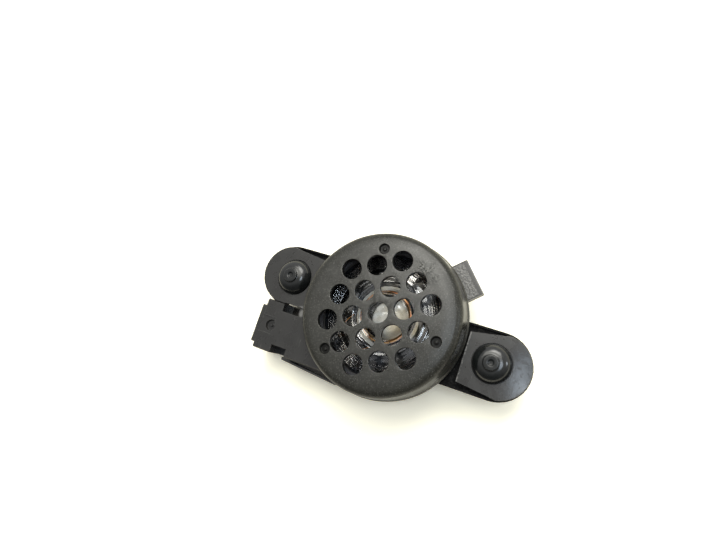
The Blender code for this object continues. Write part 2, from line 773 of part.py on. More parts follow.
def make_terminals():
    """The terminal board under the frame, its two solder lugs and the coil's two lead wires."""
    depth, width, thickness = BOARD_SIZE
    low = (TERMINAL_R - depth / 2, -width / 2, BOARD_Z)
    high = (TERMINAL_R + depth / 2, width / 2, BOARD_Z + thickness)
    board = box("terminal_board", low, high, BOARD)
    move(board, turn=TERMINAL_ANGLE)
    for side, sideways in LUG_SIDES.items():
        lug = disc(f"{side}_solder_lug", 0.9, BOARD_Z - GAP - 0.8, BOARD_Z - GAP, TIN, 16)
        move(lug, *polar(TERMINAL_R - 1.0, TERMINAL_ANGLE, sideways))
        height = COIL_Z[1] - 1.0
        path = [
            (*polar(COIL_R[1] + 0.6, TERMINAL_ANGLE, sideways * 2.2), height),
            (*polar(COIL_R[1] + 3.4, TERMINAL_ANGLE, sideways * 2.0), height),
            (*polar(TERMINAL_R + 0.4, TERMINAL_ANGLE, sideways * 1.2), height - 0.2),
            (*polar(TERMINAL_R + 1.2, TERMINAL_ANGLE, sideways), height - 0.8),
            (*polar(TERMINAL_R + 1.2, TERMINAL_ANGLE, sideways), BOARD_Z + thickness + GAP),
        ]
        wire(f"{side}_coil_lead", path, 0.14, COPPER)


def pin_rows():
    middle = sum(SHROUD_Y) / 2
    return middle - PIN_PITCH / 2, middle + PIN_PITCH / 2


def make_contacts():
    """The socket's two blades and the insulated wires from them to the solder lugs."""
    looks = (BLACK_SLEEVE, RED_SLEEVE)
    for (side, sideways), y, end, look in zip(LUG_SIDES.items(), pin_rows(), PIN_ENDS_X, looks):
        low = (PIN_TIP_X, y - PIN_WIDTH / 2, PIN_Z - PIN_THICKNESS / 2)
        high = (end, y + PIN_WIDTH / 2, PIN_Z + PIN_THICKNESS / 2)
        pin = box(f"{side}_contact_pin", low, high, TIN)
        bevel(pin, 0.18)
        lug_x, lug_y = polar(TERMINAL_R - 1.0, TERMINAL_ANGLE, sideways)
        lug_z = BOARD_Z - GAP - 0.4
        path = [
            (end + 0.35, y, PIN_Z),
            (end + 1.6, y + 0.2, PIN_Z - 0.9),
            (lug_x - 0.2, lug_y - 2.6, PIN_Z - 0.9),
            (lug_x, lug_y - 1.35, lug_z - 0.1),
        ]
        wire(f"{side}_feed_wire", path, 0.45, look)


# ---------------------------------------------------------------- assembly

clear_scene()
parts = new_collection("sounder_loudspeaker")
cutters = new_collection("cutters")
cutters.hide_render = True
make_housing()
make_cap()
make_buffers()
make_frame()
make_motor()
make_diaphragm()
make_surround()
make_edge_pieces()
make_coil()
make_terminals()
make_contacts()
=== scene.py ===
"""The looks of the in-car sounder loudspeaker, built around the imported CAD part.

Every size is in metres, and MM turns millimetres into metres. Places come from the boxes of the CAD nodes.
The visible turned pieces are made again with fine steps and softened corners. The other nodes are copied,
welded and given softened edges. All of them get node materials."""

import math

import bmesh
import bpy
from mathutils import Matrix, Vector


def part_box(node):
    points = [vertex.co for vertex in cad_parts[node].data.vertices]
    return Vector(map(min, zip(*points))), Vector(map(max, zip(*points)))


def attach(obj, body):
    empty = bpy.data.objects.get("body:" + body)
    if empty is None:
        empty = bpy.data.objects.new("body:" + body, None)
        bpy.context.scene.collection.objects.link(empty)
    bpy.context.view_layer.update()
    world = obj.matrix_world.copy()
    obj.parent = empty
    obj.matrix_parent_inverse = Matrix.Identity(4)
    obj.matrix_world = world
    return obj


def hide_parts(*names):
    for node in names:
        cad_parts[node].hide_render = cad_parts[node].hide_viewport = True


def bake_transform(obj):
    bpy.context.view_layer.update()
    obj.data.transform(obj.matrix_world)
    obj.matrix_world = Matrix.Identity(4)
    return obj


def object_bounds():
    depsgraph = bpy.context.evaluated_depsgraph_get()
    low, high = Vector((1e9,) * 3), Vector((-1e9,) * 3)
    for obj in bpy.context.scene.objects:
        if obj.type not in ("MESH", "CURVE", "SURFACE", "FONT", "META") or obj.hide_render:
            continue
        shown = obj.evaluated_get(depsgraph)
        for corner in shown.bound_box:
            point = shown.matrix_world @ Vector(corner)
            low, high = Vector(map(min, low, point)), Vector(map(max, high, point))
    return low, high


MM = 0.001

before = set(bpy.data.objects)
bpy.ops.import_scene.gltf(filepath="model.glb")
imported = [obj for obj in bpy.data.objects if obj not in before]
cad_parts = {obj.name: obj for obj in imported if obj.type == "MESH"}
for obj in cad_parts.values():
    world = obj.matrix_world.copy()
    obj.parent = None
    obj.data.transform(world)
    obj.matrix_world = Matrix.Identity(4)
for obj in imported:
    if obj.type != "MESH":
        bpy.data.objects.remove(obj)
cad_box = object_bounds()

# ---------------------------------------------------------------- places taken from the frame

CAP_LOW, CAP_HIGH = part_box("grille_cap")
HOUSING_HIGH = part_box("rear_housing")[1]
FILM_LOW, FILM_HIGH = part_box("diaphragm")
SURROUND_LOW, SURROUND_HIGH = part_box("surround")
COIL_LOW, COIL_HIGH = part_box("voice_coil")
PLATE_LOW, PLATE_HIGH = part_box("pole_plate")

# the cap
CAP_TOP = CAP_HIGH.z
CAP_BOTTOM = CAP_LOW.z
CAP_LIP_R = CAP_HIGH.x
CAP_R = CAP_LIP_R - 0.70 * MM  # where the rounded edge ends and the skirt begins
CAP_FACE = 1.6 * MM  # the thickness of the cap's face
CAP_CROWN = 0.7 * MM  # how far the face is shaded as if it were domed

# the grid of holes and the ring of dimples in the cap's face
HOLE_R = 2.85 * MM
HOLE_PITCH = 7.68 * MM
COLUMN_PITCH = 0.795 * HOLE_PITCH
GRID_TURN = math.radians(-7.8)
HOLE_FIELD_R = 19.3 * MM  # all holes and dimples lie inside this radius
DIMPLE_RING = 17.6 * MM
DIMPLE_ANGLES = (-9.0, 103.0, 231.0)

# the housing's ears, side tab and connector block
PAD_TOP = HOUSING_HIGH.z
PAD_EDGE_X = CAP_LIP_R + 0.55 * MM  # the right pad's inner edge, just outside the cap's lip
EARS_START_X = 17.0 * MM
EAR_END = (HOUSING_HIGH.x + 6.0 * MM, -4.5 * MM, PAD_TOP)  # the polished end of the right ear
TAB_TURN = math.radians(42.0)
TAB_START_Y = 10.5 * MM
TAB_ROOT = CAP_LIP_R - 0.6 * MM  # distances from the cap's axis, along the tab
TAB_GRAIN_END = TAB_ROOT + 3.25 * MM
TAB_GRAIN_HALF = 4.95 * MM  # half the width of the grained top
TAB_HALF = 5.6 * MM  # a little over half the tab's width
MARK_PLACE = (-33.7 * MM, -12.7 * MM, PAD_TOP - 1.3 * MM)  # the round dimple of the connector block
RAMP_PLACE = (-25.6 * MM, -6.0 * MM, PAD_TOP - 1.0 * MM)  # the slope in the window beside the block
RAMP_LOW = PAD_TOP - 2.7 * MM

# the clear film
FILM = 0.06 * MM  # its thickness
FILM_Z = FILM_LOW.z + 0.07 * MM  # the underside of the flat ring that sits on the coil

# the brightness of the room and the floor, and the camera
ROOM_FAR = 1.25
ROOM_NEAR = 0.12
ROOM_OVERHEAD = 0.9
FLOOR_EXPOSURE = 1.4
CAMERA_PLACE = (46.77 * MM, -9.15 * MM, CAP_TOP + 144.85 * MM)
CAMERA_TURN = (13.33513, 17.48054, 19.62666)  # degrees about X, Y and Z


# ---------------------------------------------------------------- mesh helpers

def linked(name, mesh, material=None):
    """A new object in the scene."""
    piece = bpy.data.objects.new(name, mesh)
    bpy.context.scene.collection.objects.link(piece)
    if material:
        mesh.materials.append(material)
    return piece


def softened(points, radius, steps=4, closed=True):
    """The same profile with every corner turned into a small arc, at most as wide as its legs allow."""
    count = len(points)
    corners = [Vector(point) for point in points]
    result = []
    for index, corner in enumerate(corners):
        if not closed and index in (0, count - 1):
            result.append(corner)
            continue
        before = corners[index - 1]
        after = corners[(index + 1) % count]
        towards, onwards = (before - corner), (after - corner)
        reach = min(radius, towards.length * 0.45, onwards.length * 0.45)
        straight = towards.angle(onwards) > math.radians(172)
        if reach < 1e-6 or straight:
            result.append(corner)
            continue
        start = corner + towards.normalized() * reach
        end = corner + onwards.normalized() * reach
        for step in range(steps + 1):
            t = step / steps
            result.append(start.lerp(corner, t).lerp(corner.lerp(end, t), t))
    return [(point.x, point.y) for point in result]


def lathe(name, profile, material=None, steps=160, closed=True):
    """A profile of (radius, height) turned about Z. An open profile starts and ends on the axis."""
    shape = bmesh.new()
    points = [shape.verts.new((radius, 0.0, height)) for radius, height in profile]
    for first, second in zip(points, points[1:]):
        shape.edges.new((first, second))
    if closed:
        shape.edges.new((points[-1], points[0]))
    bmesh.ops.spin(
        shape, geom=shape.verts[:] + shape.edges[:], cent=(0, 0, 0), axis=(0, 0, 1),
        dvec=(0, 0, 0), angle=math.tau, steps=steps, use_merge=True,
    )
    bmesh.ops.remove_doubles(shape, verts=shape.verts, dist=1e-7)
    bmesh.ops.recalc_face_normals(shape, faces=shape.faces)
    mesh = bpy.data.meshes.new(name)
    shape.to_mesh(mesh)
    shape.free()
    piece = linked(name, mesh, material)
    smooth(piece)
    return piece


def smooth(piece, angle=38):
    """Smooth shading, apart from the edges that turn by more than so many degrees."""
    piece.data.shade_smooth()
    piece.data.set_sharp_from_angle(angle=math.radians(angle))


def arc(centre, radius, start, end, steps):
    """Points along an arc, between two angles in degrees."""
    angles = [math.radians(start + (end - start) * step / steps) for step in range(steps + 1)]
    return [(centre[0] + radius * math.cos(angle), centre[1] + radius * math.sin(angle)) for angle in angles]


def polar(radius, angle):
    """The x and y of a place at a radius and an angle in degrees."""
    turn = math.radians(angle)
    return radius * math.cos(turn), radius * math.sin(turn)


def cut_all(piece, tools):
    """One exact Boolean with all the tools, applied, so that the piece is a plain mesh again."""
    group = bpy.data.collections.new(piece.name + "_tools")
    for tool in tools:
        group.objects.link(tool)
    modifier = piece.modifiers.new("cuts", "BOOLEAN")
    modifier.operation = "DIFFERENCE"
    modifier.operand_type = "COLLECTION"
    modifier.collection = group
    modifier.solver = "EXACT"
    graph = bpy.context.evaluated_depsgraph_get()
    mesh = bpy.data.meshes.new_from_object(piece.evaluated_get(graph))
    piece.modifiers.clear()
    piece.data = mesh
    for tool in tools:
        bpy.data.objects.remove(tool)
    bpy.data.collections.remove(group)


def cad_copy(name, node, material, merge_angle, softening=0.0):
    """A copy of a CAD node with its triangles welded and joined, and its sharp edges softened."""
    shape = bmesh.new()
    shape.from_mesh(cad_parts[node].data)
    bmesh.ops.remove_doubles(shape, verts=shape.verts, dist=1e-6)
    bmesh.ops.dissolve_limit(
        shape, angle_limit=math.radians(merge_angle), verts=shape.verts, edges=shape.edges, delimit=set(),
    )
    if softening:
        limit = math.radians(38)
        sharp = [edge for edge in shape.edges if edge.is_manifold and edge.calc_face_angle() > limit]
        bmesh.ops.bevel(
            shape, geom=sharp, offset=softening, segments=2, profile=0.5,
            affect="EDGES", clamp_overlap=True, harden_normals=False,
        )
    mesh = bpy.data.meshes.new(name)
    shape.to_mesh(mesh)
    shape.free()
    piece = linked(name, mesh, material)
    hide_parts(node)
    return piece


def refined(name, node, body, material, softening):
    """A CAD node's softened copy, riding on its body."""
    piece = cad_copy(name, node, material, 1.5, softening)
    smooth(piece, 50)
    flatten(piece)
    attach(piece, body)


def flatten(piece):
    """Keeps the large faces flat to the eye, so that only the small bevels carry the shading."""
    modifier = piece.modifiers.new("weighted_normals", "WEIGHTED_NORMAL")
    modifier.mode = "FACE_AREA"
    modifier.weight = 100
    modifier.keep_sharp = True


# ---------------------------------------------------------------- node helpers

class Nodes:
    """A small hand for building one material's node tree."""

    def __init__(self, name):
        self.material = bpy.data.materials.new(name)
        self.material.use_nodes = True
        self.tree = self.material.node_tree
        self.shader = self.tree.nodes["Principled BSDF"]
        self.output = self.tree.nodes["Material Output"]
        self.place = self.tree.nodes.new("ShaderNodeTexCoord").outputs["Object"]

    def add(self, kind, **settings):
        """A new node with its settings."""
        node = self.tree.nodes.new(kind)
        for key, value in settings.items():
            setattr(node, key, value)
        return node

    def link(self, source, target):
        """A wire from an output to an input."""
        self.tree.links.new(source, target)

    def fill(self, target, value):
        """Gives a socket its value, which is another node's socket, a number or a tuple."""
        if hasattr(value, "links"):
            self.link(value, target)
        else:
            target.default_value = value

    def noise(self, size, detail=2.0, roughness=0.5, place=None):
        """Noise whose blobs are about so many metres across."""
        node = self.add("ShaderNodeTexNoise")
        self.link(place or self.place, node.inputs["Vector"])
        node.inputs["Scale"].default_value = 1.0 / size
        node.inputs["Detail"].default_value = detail
        node.inputs["Roughness"].default_value = roughness
        return node.outputs["Fac"]

    def stretched(self, scale, turn):
        """The part's own coordinates turned about Z by so many degrees and stretched."""
        node = self.add("ShaderNodeMapping")
        self.link(self.place, node.inputs["Vector"])
        node.inputs["Rotation"].default_value = (0.0, 0.0, math.radians(turn))
        node.inputs["Scale"].default_value = scale
        return node.outputs["Vector"]

    def varied(self, size, detail, low, high):
        """A value that drifts between low and high, in clouds of about that size."""
        return self.spread(self.noise(size, detail), 0.3, 0.7, low, high)

    def cells(self, size):
        """The distance to the middle of the nearest cell."""
        node = self.add("ShaderNodeTexVoronoi")
        self.link(self.place, node.inputs["Vector"])
        node.inputs["Scale"].default_value = 1.0 / size
        return node.outputs["Distance"]

    def spread(self, value, low, high, to_low=0.0, to_high=1.0):
        """The range from low to high spread over another range, and held at its ends."""
        node = self.add("ShaderNodeMapRange")
        self.fill(node.inputs["Value"], value)
        node.inputs["From Min"].default_value = low
        node.inputs["From Max"].default_value = high
        node.inputs["To Min"].default_value = to_low
        node.inputs["To Max"].default_value = to_high
        return node.outputs["Result"]

    def maths(self, operation, first, second=0.0):
        """One sum of two sockets or numbers."""
        node = self.add("ShaderNodeMath", operation=operation)
        for socket, value in zip(node.inputs, (first, second)):
            self.fill(socket, value)
        return node.outputs["Value"]

    def times(self, first, *others):
        """The product of any number of sockets and numbers."""
        for other in others:
            first = self.maths("MULTIPLY", first, other)
        return first

    def mix(self, share, first, second):
        """The first colour, with a share of the second one over it."""
        node = self.add("ShaderNodeMix", data_type="RGBA")
        self.fill(node.inputs["Factor"], share)
        self.fill(node.inputs["A"], first if hasattr(first, "links") else (*first, 1.0))
        self.fill(node.inputs["B"], second if hasattr(second, "links") else (*second, 1.0))
        return node.outputs["Result"]

    def axis(self, name):
        """One of the part's own coordinates."""
        node = self.add("ShaderNodeSeparateXYZ")
        self.link(self.place, node.inputs["Vector"])
        return node.outputs[name]

    def radius(self):
        """The distance from the part's own axis."""
        x, y = self.axis("X"), self.axis("Y")
        return self.maths("SQRT", self.maths("ADD", self.times(x, x), self.times(y, y)))

    def near(self, centre, reach):
        """1 at a point of the part, falling to 0 at a distance."""
        node = self.add("ShaderNodeVectorMath", operation="DISTANCE")
        self.link(self.place, node.inputs[0])
        node.inputs[1].default_value = centre
        return self.spread(node.outputs["Value"], 0.0, reach, 1.0, 0.0)

    def edges(self, radius):
        """1 on sharp outer edges and 0 on flat faces, from the bevelled normal."""
        rounded = self.add("ShaderNodeBevel", samples=4)
        rounded.inputs["Radius"].default_value = radius
        true = self.add("ShaderNodeNewGeometry")
        dot = self.add("ShaderNodeVectorMath", operation="DOT_PRODUCT")
        self.link(rounded.outputs["Normal"], dot.inputs[0])
        self.link(true.outputs["Normal"], dot.inputs[1])
        return self.spread(dot.outputs["Value"], 0.985, 0.80)

    def bump(self, *layers):
        """Bump layers of (height, depth in metres), one on top of the other."""
        normal = None
        for height, depth in layers:
            node = self.add("ShaderNodeBump")
            node.inputs["Strength"].default_value = 1.0
            node.inputs["Distance"].default_value = depth
            self.link(height, node.inputs["Height"])
            if normal:
                self.link(normal, node.inputs["Normal"])
            normal = node.outputs["Normal"]
        self.link(normal, self.shader.inputs["Normal"])

    def finish(self, colour, roughness, metallic=0.0, specular=0.5):
        """Fills the shader's main sockets and hands over the finished material."""
        self.fill(self.shader.inputs["Base Color"], colour if hasattr(colour, "links") else (*colour, 1.0))
        self.fill(self.shader.inputs["Roughness"], roughness)
        self.fill(self.shader.inputs["Metallic"], metallic)
        self.fill(self.shader.inputs["Specular IOR Level"], specular)
        return self.material


# ---------------------------------------------------------------- materials

PAINTED_SHADE_BLACK = (0.003, 0.003, 0.003)  # painted shade: near black put on the plastic down in holes and troughs, where no light gets


def moulded_plastic(name, colour, pale_wear_and_highlight):
    """Black moulded plastic: cloudy gloss, dust specks, and pale edges that are partly rubbed wear and partly
    a painted highlight. The caller adds the grain.
    """
    m = Nodes(name)
    specks = m.maths("LESS_THAN", m.cells(0.9 * MM), 0.055)
    specks = m.times(specks, m.maths("GREATER_THAN", m.noise(2.6 * MM, 1), 0.56))
    # pale sharp edges: partly rubbed wear, partly a painted highlight along the edges
    edge_wear_and_highlight = m.times(m.edges(0.26 * MM), m.spread(m.noise(1.1 * MM, 4), 0.34, 0.58))
    darker = tuple(0.82 * part for part in colour)
    shade = m.mix(m.spread(m.noise(9 * MM, 3), 0.35, 0.7), darker, colour)
    shade = m.mix(m.times(specks, 0.35), shade, pale_wear_and_highlight)
    shade = m.mix(m.times(edge_wear_and_highlight, 0.55), shade, pale_wear_and_highlight)
    gloss = m.varied(3.5 * MM, 4, 0.23, 0.38)
    gloss = m.maths("SUBTRACT", gloss, m.times(edge_wear_and_highlight, 0.08))
    return m, shade, gloss


def housing_plastic():
    """The housing's plastic: coarse grain on the side tab, dull sunk troughs darkened with painted shade and
    a polished right ear end.
    """
    pale_wear_and_highlight = (0.16, 0.156, 0.147)
    m, shade, gloss = moulded_plastic("housing_plastic", (0.018, 0.0175, 0.0165), pale_wear_and_highlight)

    coarse = m.noise(0.46 * MM, 2, 0.6)
    on_tab, shaded_strip = tab_masks(m)
    # the grain's pale flecks are partly the tab's own grain and partly painted light caught on its rough top
    grained = m.mix(m.spread(coarse, 0.38, 0.64), (0.022, 0.021, 0.019), (0.125, 0.122, 0.112))
    shade = m.mix(on_tab, shade, grained)
    # painted shade: the smooth strip along the tab's end and sides is darkened where its slope turns away
    # from the light
    shade = m.mix(m.times(shaded_strip, 0.5), shade, (0.008, 0.0075, 0.0085))

    streaks = m.noise(0.5 * MM, 2, 0.5, m.stretched((1.0, 0.12, 1.0), 24))
    shade = m.mix(m.times(m.spread(streaks, 0.66, 0.74), 0.22), shade, pale_wear_and_highlight)

    sunk = trough_shade_mask(m)
    grit = m.times(m.spread(m.noise(0.5 * MM, 3, 0.6), 0.52, 0.66), 0.12)
    # painted shade: the troughs below the pads are darkened to near black, with a little grit
    shade = m.mix(m.times(sunk, 0.92), shade, m.mix(grit, PAINTED_SHADE_BLACK, pale_wear_and_highlight))
    # painted light: a pale patch on the window's slope
    shade = m.mix(ramp_light_mask(m), shade, (0.20, 0.198, 0.19))
    shade = m.mix(m.times(pad_edge(m), 0.8), shade, pale_wear_and_highlight)
    # painted shade: the round dimple of the connector block is darkened to near black
    shade = m.mix(m.times(dimple_shade_mask(m), 0.85), shade, PAINTED_SHADE_BLACK)

    reach = m.near(EAR_END, 15.0 * MM)
    polish = m.spread(m.times(reach, m.spread(m.noise(1.2 * MM, 3), 0.30, 0.50)), 0.14, 0.30)
    gloss = m.maths("SUBTRACT", gloss, m.times(polish, 0.09))
    gloss = m.maths("ADD", gloss, m.times(sunk, 0.4))
    m.bump(
        (m.noise(0.16 * MM, 2, 0.6), 0.006 * MM),
        (m.times(coarse, on_tab), 0.14 * MM),
        (m.times(reach, reach, -1.0), 2.4 * MM),
        (m.noise(5 * MM, 1), 0.03 * MM),
    )
    return m.finish(shade, gloss, specular=m.maths("SUBTRACT", 0.5, m.times(sunk, 0.4)))


def ramp_light_mask(m):
    """1 on the slope in the window beside the connector block, where a painted patch of light stands for the
    light it catches.
    """
    close = m.spread(m.near(RAMP_PLACE, 2.4 * MM), 0.15, 0.5)
    return m.times(close, m.spread(m.axis("Z"), RAMP_LOW, RAMP_LOW + 0.6 * MM))


def pad_edge(m):
    """1 on the rubbed, slightly torn line along the right pad's inner edge."""
    offset = m.maths("ABSOLUTE", m.maths("SUBTRACT", m.axis("X"), PAD_EDGE_X))
    line = m.spread(offset, 0.10 * MM, 0.32 * MM, 1.0, 0.0)
    torn = m.spread(m.noise(0.7 * MM, 3, 0.6), 0.40, 0.55)
    top = m.maths("GREATER_THAN", m.axis("Z"), PAD_TOP - 0.5 * MM)
    return m.times(line, torn, top)


def dimple_shade_mask(m):
    """1 down in the round dimple of the connector block, where the painted shade goes."""
    return m.spread(m.near(MARK_PLACE, 2.2 * MM), 0.30, 0.55)


def trough_shade_mask(m):
    """1 below the raised pads of the two ears, and 0 on them, the can, the tab and the connector side: where
    the painted shade goes.
    """
    x, y = m.axis("X"), m.axis("Y")
    deep = m.spread(m.axis("Z"), PAD_TOP - 0.9 * MM, PAD_TOP - 0.4 * MM, 1.0, 0.0)
    ears = m.maths("GREATER_THAN", m.maths("ABSOLUTE", x), EARS_START_X)
    off_can = m.spread(m.radius(), CAP_R - 1.2 * MM, CAP_R - 0.2 * MM)
    off_block = m.maths("GREATER_THAN", m.maths("ADD", y, m.times(x, 0.5)), -15 * MM)
    off_tab = m.maths("MAXIMUM", m.maths("LESS_THAN", y, TAB_START_Y), m.maths("LESS_THAN", x, 0.0))
    return m.times(deep, ears, off_can, off_block, off_tab)


def tab_masks(m):
    """1 on the grained top of the side tab, and 1 on the smooth strip along its outer end and sides."""
    x, y = m.axis("X"), m.axis("Y")
    cosine, sine = math.cos(TAB_TURN), math.sin(TAB_TURN)
    along = m.maths("ADD", m.times(x, cosine), m.times(y, sine))
    across = m.maths("ABSOLUTE", m.maths("SUBTRACT", m.times(y, cosine), m.times(x, sine)))
    outside = m.maths("GREATER_THAN", along, TAB_ROOT)
    inner = m.maths("LESS_THAN", along, TAB_GRAIN_END)
    grained = m.times(outside, inner, m.maths("LESS_THAN", across, TAB_GRAIN_HALF))
    whole = m.times(outside, m.maths("LESS_THAN", across, TAB_HALF))
    return grained, m.maths("SUBTRACT", whole, grained)


def cap_plastic():
    """The cap's plastic, with a rubbed and chalky patch beyond the upper right holes, and painted shade down
    in its holes and dimples.
    """
    pale_wear_and_highlight = (0.15, 0.148, 0.132)
    m, shade, gloss = moulded_plastic("cap_plastic", (0.0205, 0.0202, 0.0165), pale_wear_and_highlight)

    patch, scuffs, chalk = rubbed_patch(m)
    shade = m.mix(m.times(scuffs, 0.85), shade, (0.006, 0.006, 0.006))
    shade = m.mix(m.times(chalk, 0.85), shade, pale_wear_and_highlight)
    shade = m.mix(m.times(patch, 0.16), shade, pale_wear_and_highlight)
    gloss = m.maths("ADD", gloss, m.times(scuffs, 0.2))
    speckle = m.spread(m.noise(0.32 * MM, 2, 0.6), 0.56, 0.68)
    shade = m.mix(m.times(speckle, 0.34), shade, pale_wear_and_highlight)

    height = m.axis("Z")
    # painted shade: the hole walls and dimples below the face are darkened to near black
    deep = m.spread(height, CAP_TOP - 0.7 * MM, CAP_TOP - 0.2 * MM, 1.0, 0.0)
    deep = m.times(deep, m.maths("LESS_THAN", m.radius(), HOLE_FIELD_R))
    shade = m.mix(m.times(deep, 0.8), shade, PAINTED_SHADE_BLACK)
    crown = m.times(m.radius(), m.radius(), -1.0 / CAP_R ** 2)
    m.bump(
        (m.noise(0.24 * MM, 3, 0.6), 0.009 * MM),
        (scuffs, 0.05 * MM),
        (m.noise(4 * MM, 1), 0.02 * MM),
        (crown, CAP_CROWN),
    )
    on_edge = m.spread(m.radius(), CAP_R - 3.4 * MM, CAP_R - 0.9 * MM)
    on_edge = m.times(on_edge, m.spread(height, CAP_TOP - 2.9 * MM, CAP_TOP - 2.4 * MM))
    dull = m.maths("MAXIMUM", m.times(deep, 0.35), m.times(scuffs, 0.42))
    dull = m.maths("MAXIMUM", dull, m.times(on_edge, 0.34))
    return m.finish(shade, gloss, specular=m.maths("SUBTRACT", 0.5, dull))


def rubbed_patch(m):
    """Two rubbed places on the cap's face, and the dark scuffs and pale chalk in them."""
    large = m.spread(m.near((*polar(16.0 * MM, 56.0), CAP_TOP), 5.0 * MM), 0.0, 0.6)
    small = m.near((*polar(14.6 * MM, 91.0), CAP_TOP), 2.6 * MM)
    patch = m.times(m.maths("MAXIMUM", large, small), m.spread(m.noise(2.0 * MM, 3), 0.36, 0.56))
    scuffs = m.times(patch, m.spread(m.noise(0.55 * MM, 3, 0.65), 0.49, 0.57))
    chalk = m.times(patch, m.spread(m.noise(0.34 * MM, 2, 0.65), 0.55, 0.63))
    return patch, scuffs, chalk


def buffer_rubber():
    """Smooth black rubber with a soft shine, slightly dusty in its hollows."""
    m = Nodes("buffer_rubber")
    dust = m.spread(m.noise(1.4 * MM, 4, 0.6), 0.45, 0.75)
    shade = m.mix(m.times(dust, 0.3), (0.005, 0.006, 0.006), (0.022, 0.023, 0.022))
    gloss = m.varied(1.8 * MM, 3, 0.13, 0.23)
    m.bump((m.noise(0.10 * MM, 2), 0.004 * MM), (m.noise(1.6 * MM, 2), 0.03 * MM))
    return m.finish(shade, gloss)


def clear_film():
    """Thin clear film: it lets the light through, mirrors the lamps and shows a faint blue and brown tint."""
    m = Nodes("clear_film")
    m.fill(m.shader.inputs["Base Color"], (0.9, 0.9, 0.88, 1.0))
    m.bump((m.noise(6 * MM, 1), 0.015 * MM), (m.noise(1.5 * MM, 1), 0.001 * MM))
    tint = m.mix(m.spread(m.noise(6 * MM, 1), 0.42, 0.6), (0.92, 0.94, 0.97), (0.98, 0.96, 0.92))
    clear = m.add("ShaderNodeBsdfTransparent")
    m.link(tint, clear.inputs["Color"])
    mirror = m.add("ShaderNodeBsdfGlossy")
    mirror.inputs["Roughness"].default_value = 0.13
    m.link(m.shader.inputs["Normal"].links[0].from_socket, mirror.inputs["Normal"])
    facing = m.add("ShaderNodeFresnel")
    facing.inputs["IOR"].default_value = 1.7
    join = m.add("ShaderNodeMixShader")
    m.link(facing.outputs["Fac"], join.inputs["Fac"])
    m.link(clear.outputs["BSDF"], join.inputs[1])
    m.link(mirror.outputs["BSDF"], join.inputs[2])
    m.link(join.outputs["Shader"], m.output.inputs["Surface"])
    return m.material


def gloss_black():
    """The speaker frame's glossy black plastic."""
    m = Nodes("frame_gloss_black")
    clouds = m.spread(m.noise(3 * MM, 3), 0.35, 0.65)
    shade = m.mix(clouds, (0.008, 0.010, 0.012), (0.018, 0.019, 0.020))
    gloss = m.varied(2 * MM, 3, 0.16, 0.28)
    m.bump((m.noise(0.2 * MM, 2), 0.004 * MM))
    return m.finish(shade, gloss, specular=0.6)


def copper():
    """Enamelled copper: fine turns around the axis, with gold and red stretches."""
    m = Nodes("enamelled_copper")
    turns = m.maths("FRACT", m.maths("DIVIDE", m.axis("Z"), 0.14 * MM))
    groove = m.maths("ABSOLUTE", m.maths("SUBTRACT", turns, 0.5))
    tone = m.spread(m.noise(1.6 * MM, 3), 0.38, 0.62)
    shade = m.mix(tone, (0.70, 0.25, 0.10), (0.92, 0.52, 0.22))
    # painted shade in the creases between the turns
    shade = m.mix(m.spread(groove, 0.40, 0.5), shade, (0.20, 0.06, 0.03))
    gloss = m.varied(0.8 * MM, 2, 0.20, 0.36)
    m.bump((groove, 0.03 * MM))
    return m.finish(shade, gloss, metallic=0.6)


def plated_steel():
    """Zinc plating with a pale cream cast and fine turning marks around the axis."""
    m = Nodes("plated_steel")
    rings = m.maths("FRACT", m.maths("DIVIDE", m.radius(), 0.22 * MM))
    marks = m.maths("ABSOLUTE", m.maths("SUBTRACT", rings, 0.5))
    clouds = m.spread(m.noise(2.4 * MM, 4), 0.35, 0.65)
    shade = m.mix(clouds, (0.80, 0.74, 0.60), (0.95, 0.92, 0.82))
    gloss = m.varied(1.2 * MM, 3, 0.30, 0.48)
    m.bump((marks, 0.006 * MM), (m.noise(0.3 * MM, 2), 0.004 * MM))
    return m.finish(shade, gloss, metallic=0.1)


def bright_metal(name, dark, light):
    """Bare or plated metal with a cloudy shine."""
    m = Nodes(name)
    clouds = m.spread(m.noise(1.8 * MM, 4), 0.35, 0.65)
    shade = m.mix(clouds, dark, light)
    gloss = m.varied(0.7 * MM, 3, 0.20, 0.42)
    m.bump((m.noise(0.15 * MM, 3), 0.004 * MM))
    return m.finish(shade, gloss, metallic=1.0)


def fibrous(name, dark, light, size, depth):
    """Card, paper or foam: a rough broken surface."""
    m = Nodes(name)
    fibres = m.noise(size, 4, 0.7)
    shade = m.mix(m.spread(fibres, 0.35, 0.65), dark, light)
    m.bump((fibres, depth), (m.cells(size * 1.7), depth * 0.6))
    return m.finish(shade, m.varied(size * 3, 2, 0.8, 0.95), specular=0.2)


def laminate():
    """Brown board: a fine crossed weave under lacquer."""
    m = Nodes("brown_laminate")
    threads = math.tau / (0.5 * MM)
    weave = m.times(
        m.maths("SINE", m.times(m.axis("X"), threads)),
        m.maths("SINE", m.times(m.axis("Y"), threads)),
    )
    shade = m.mix(m.spread(weave, -1, 1), (0.11, 0.065, 0.028), (0.19, 0.12, 0.055))
    m.bump((weave, 0.01 * MM))
    return m.finish(shade, m.varied(2 * MM, 2, 0.35, 0.55))


def sleeve(name, dark, light):
    """The soft plastic sleeve of an insulated wire."""
    m = Nodes(name)
    shade = m.mix(m.spread(m.noise(0.9 * MM, 3), 0.35, 0.65), dark, light)
    m.bump((m.noise(0.2 * MM, 2), 0.006 * MM))
    return m.finish(shade, m.varied(1.2 * MM, 2, 0.36, 0.52))


# ---------------------------------------------------------------- the cap

